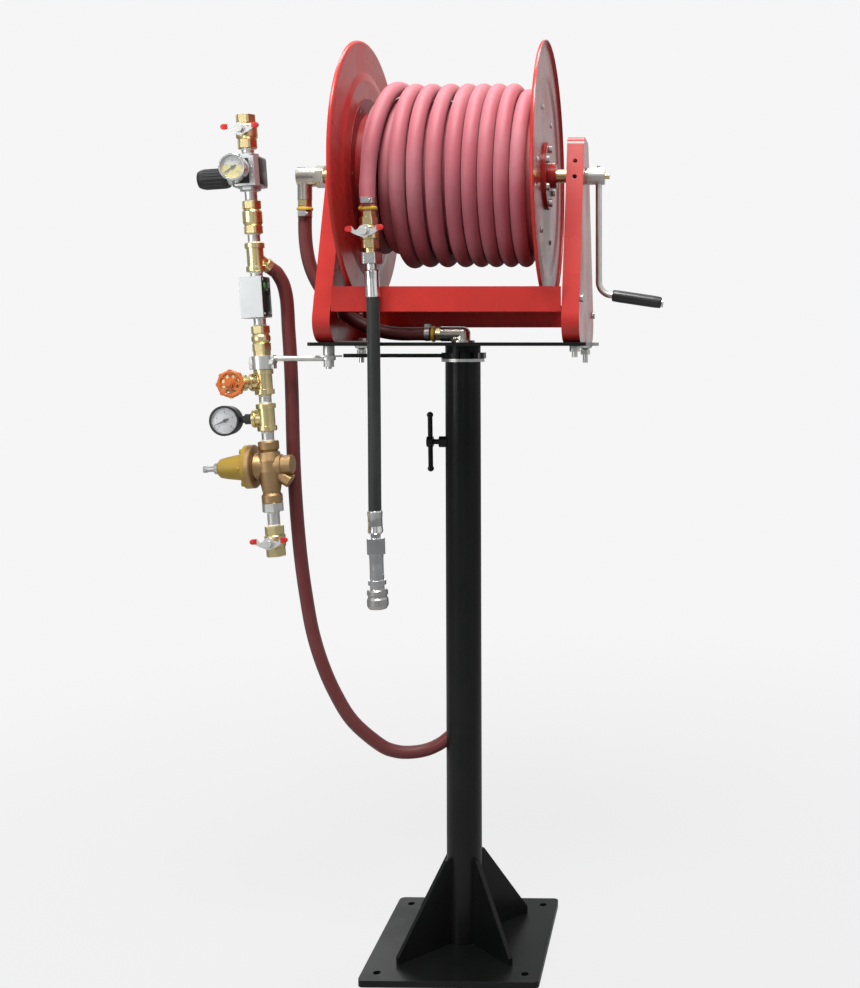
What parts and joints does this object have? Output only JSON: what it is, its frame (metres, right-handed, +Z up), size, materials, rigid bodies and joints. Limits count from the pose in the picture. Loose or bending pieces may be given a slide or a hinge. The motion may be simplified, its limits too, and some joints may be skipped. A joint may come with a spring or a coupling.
{
  "type": "fire_hose_reel",
  "caption": "Hand cranked fire hose reel on a swivelling post stand, with wound red hose, brass supply manifold, gauges, valves and a coupler at the hose end.",
  "frame": {"origin": "centre of the underside of the base plate", "axes": "+X to the operator's right, +Y away from the operator, +Z up"},
  "size_m": [0.8238, 0.492, 1.69],
  "materials": {
    "black_paint": "satin black paint with a slight green tint",
    "red_paint": "gloss red enamel",
    "dark_red": "gloss dark red enamel",
    "reel_hose": "smooth pinkish red rubber hose cover",
    "supply_rubber": "wine red rubber hose cover",
    "black_rubber": "matt black rubber",
    "zinc": "bright zinc plated steel",
    "steel": "turned steel",
    "chrome": "nickel plated brass",
    "brass": "forged brass, slightly dull",
    "bronze": "cast bronze",
    "mustard": "bronze coloured casting",
    "silver_body": "clear anodised aluminium",
    "black_plastic": "moulded black plastic",
    "orange": "orange red enamel",
    "dial": "black needle enamel",
    "grip": "moulded black grip"
  },
  "bodies": {
    "stand": {"base_plate": "black_paint", "base_gussets": "black_paint", "post": "black_paint", "thrust_washer": "zinc", "supply_hose": "supply_rubber"},
    "lock": {"lock_handle": "zinc"},
    "head": {"swivel_stem": "black_paint", "clamp_collar": "black_paint", "turning_arm": "black_paint", "deck_plate": "black_paint", "side_frame_left": "red_paint", "side_frame_right": "red_paint", "frame_beams": "red_paint", "frame_bolts": "zinc", "shaft_bearings": "black_paint", "inlet_elbows": "chrome", "inlet_hose": "supply_rubber", "inlet_fittings": "brass", "hanger_rod": "zinc", "pipe_clamp": "zinc", "inlet_valve_body": "chrome", "regulator_body": "silver_body", "regulator_gauge": "chrome", "check_valves": "brass", "branch_tees": "brass", "lockout_body": "silver_body", "pipe_nipples": "zinc", "globe_valve_body": "brass", "pressure_gauge": "black_plastic", "reducing_valve_body": "bronze", "reducing_valve_bell": "mustard", "drain_valve_body": "chrome", "hose_tail": "reel_hose", "hose_valve_body": "chrome", "whip_hose": "black_rubber", "whip_fittings": "chrome", "coupler_body": "chrome"},
    "drum": {"drum_discs": "red_paint", "drum_core": "dark_red", "drum_shaft": "brass", "hub_flanges": "red_paint", "drum_fasteners": "zinc", "crank_arm": "zinc", "hose_outer_turns": "reel_hose", "hose_first_turns": "reel_hose", "hose_inner_layer": "reel_hose"},
    "grip": {"crank_grip": "grip"},
    "inlet_handle": {"inlet_valve_handle": "zinc", "inlet_valve_ball": "chrome"},
    "drain_handle": {"drain_valve_handle": "zinc", "drain_valve_ball": "chrome"},
    "hose_handle": {"hose_valve_handle": "zinc", "hose_valve_ball": "chrome"},
    "knob": {"regulator_knob": "black_plastic"},
    "regulator_pointer": {"regulator_needle": "dial"},
    "gauge_pointer": {"pressure_needle": "dial"},
    "lever": {"lockout_lever": "black_plastic"},
    "handwheel": {"globe_handwheel": "orange"},
    "adjuster": {"reducing_valve_screw": "steel"},
    "sleeve": {"coupler_sleeve": "steel"}
  },
  "joints": [
    {"name": "head_swivel", "type": "hinge", "parent": "stand", "child": "head", "pos_m": [0, 0, 1.104], "axis": [0, 0, 1], "range_deg": [-90, 90], "deforming": ["supply_hose"]},
    {"name": "lock_turn", "type": "hinge", "parent": "stand", "child": "lock", "pos_m": [-0.06, 0, 0.948], "axis": [1, 0, 0], "range_deg": [0, 180]},
    {"name": "drum_spin", "type": "hinge", "parent": "head", "child": "drum", "pos_m": [0, 0, 1.444], "axis": [1, 0, 0], "continuous": true, "deforming": ["hose_tail"]},
    {"name": "grip_spin", "type": "hinge", "parent": "drum", "child": "grip", "pos_m": [0.27631, 0, 1.22228], "axis": [0.989, 0, -0.1478], "continuous": true},
    {"name": "inlet_valve_turn", "type": "hinge", "parent": "head", "child": "inlet_handle", "pos_m": [-0.36249, -0.115, 1.50764], "axis": [0, -1, 0], "range_deg": [0, 90]},
    {"name": "drain_valve_turn", "type": "hinge", "parent": "head", "child": "drain_handle", "pos_m": [-0.31541, -0.115, 0.77967], "axis": [0, -1, 0], "range_deg": [0, 90]},
    {"name": "hose_valve_turn", "type": "hinge", "parent": "head", "child": "hose_handle", "pos_m": [-0.13097, -0.1645, 1.32384], "axis": [0, -1, 0], "range_deg": [0, 90]},
    {"name": "knob_turn", "type": "hinge", "parent": "head", "child": "knob", "pos_m": [-0.39728, -0.115, 1.42573], "axis": [-0.9979, 0, -0.0645], "range_deg": [0, 300]},
    {"name": "regulator_pointer_turn", "type": "hinge", "parent": "head", "child": "regulator_pointer", "pos_m": [-0.36799, -0.167, 1.43764], "axis": [0, 1, 0], "range_deg": [0, 240]},
    {"name": "gauge_pointer_turn", "type": "hinge", "parent": "head", "child": "gauge_pointer", "pos_m": [-0.40146, -0.125, 0.99456], "axis": [0, 1, 0], "range_deg": [0, 240]},
    {"name": "lever_swing", "type": "hinge", "parent": "head", "child": "lever", "pos_m": [-0.32816, -0.115, 1.22477], "axis": [-0.9979, 0, -0.0645], "range_deg": [0, 30]},
    {"name": "handwheel_turn", "type": "hinge", "parent": "head", "child": "handwheel", "pos_m": [-0.37771, -0.145, 1.06123], "axis": [0, -1, 0], "range_deg": [0, 720]},
    {"name": "adjuster_turn", "type": "hinge", "parent": "head", "child": "adjuster", "pos_m": [-0.41494, -0.115, 0.90851], "axis": [-0.9979, 0, -0.0645], "range_deg": [0, 720]},
    {"name": "sleeve_slide", "type": "slide", "parent": "head", "child": "sleeve", "axis": [-0.0288, 0, 0.9996], "range_m": [0, 0.006], "stiffness_N_per_m": 600}
  ]
}
